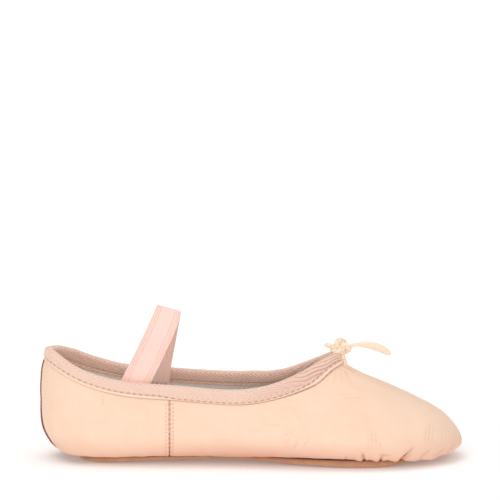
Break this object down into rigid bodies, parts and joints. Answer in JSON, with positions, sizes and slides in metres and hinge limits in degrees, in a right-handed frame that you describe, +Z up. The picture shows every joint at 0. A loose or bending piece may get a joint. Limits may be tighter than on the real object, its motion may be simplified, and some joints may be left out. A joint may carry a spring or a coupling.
{
  "type": "ballet slipper",
  "caption": "Child's full-sole leather ballet slipper with ribbed topline binding, drawstring tied at the throat and an elastic strap over the instep.",
  "frame": {"origin": "middle of the footprint, on the floor the sole rests on", "axes": "+X from heel to toe, +Z up, the wearer's right side is -Y"},
  "size_m": [0.1907, 0.0642, 0.0701],
  "materials": {
    "upper_leather": "matt",
    "cotton_lining": "matt",
    "binding_tape": "matt",
    "cord": "matt",
    "elastic_web": "matt",
    "suede_sole": "matt",
    "insole_board": "matt",
    "sock_cloth": "matt",
    "thread": "matt"
  },
  "bodies": {
    "rearfoot": {"outsole_heelpart": "suede_sole", "insole_heelpart": "insole_board", "sock_lining_heelpart": "sock_cloth", "quarter_left": "upper_leather", "quarter_right": "upper_leather", "quarter_lining_left": "cotton_lining", "quarter_lining_right": "cotton_lining", "vamp_lining_wing_left": "cotton_lining", "vamp_lining_wing_right": "cotton_lining", "topline_binding": "binding_tape", "drawstring_cord": "cord", "strap_end_left": "elastic_web", "strap_end_right": "elastic_web", "stitches_side_seam_left": "thread", "stitches_side_seam_right": "thread", "stitches_back_seam": "thread", "stitches_binding": "thread", "stitches_strap": "thread"},
    "forefoot": {"outsole_forepart": "suede_sole", "insole_forepart": "insole_board", "sock_lining_forepart": "sock_cloth", "vamp": "upper_leather", "vamp_lining_toe": "cotton_lining"},
    "strap": {"elastic_strap": "elastic_web"},
    "knot": {"drawstring_knot": "cord"},
    "tail_long": {"drawstring_tail_long": "cord"},
    "tail_short": {"drawstring_tail_short": "cord"}
  },
  "joints": [
    {"name": "forefoot_flex", "type": "hinge", "parent": "rearfoot", "child": "forefoot", "pos_m": [0.02269, 0, 0.0005], "axis": [0, -1, 0], "range_deg": [-15, 25], "deforming": ["vamp", "topline_binding", "drawstring_cord", "stitches_binding"]},
    {"name": "strap_swing", "type": "hinge", "parent": "rearfoot", "child": "strap", "pos_m": [-0.04671, -0.00015, 0.03905], "axis": [0.2687, 0.9632, -0.0086], "range_deg": [-50, 50], "deforming": ["elastic_strap"]},
    {"name": "drawstring_pull", "type": "slide", "parent": "forefoot", "child": "knot", "axis": [0.5524, 0, 0.8336], "range_m": [0, 0.005]},
    {"name": "long_tail_swing", "type": "hinge", "parent": "knot", "child": "tail_long", "pos_m": [0.04449, -0.0003, 0.0522], "axis": [0, 1, 0], "range_deg": [-45, 25]},
    {"name": "short_tail_swing", "type": "hinge", "parent": "knot", "child": "tail_short", "pos_m": [0.03879, -0.0026, 0.0535], "axis": [0, 1, 0], "range_deg": [-25, 40]}
  ]
}
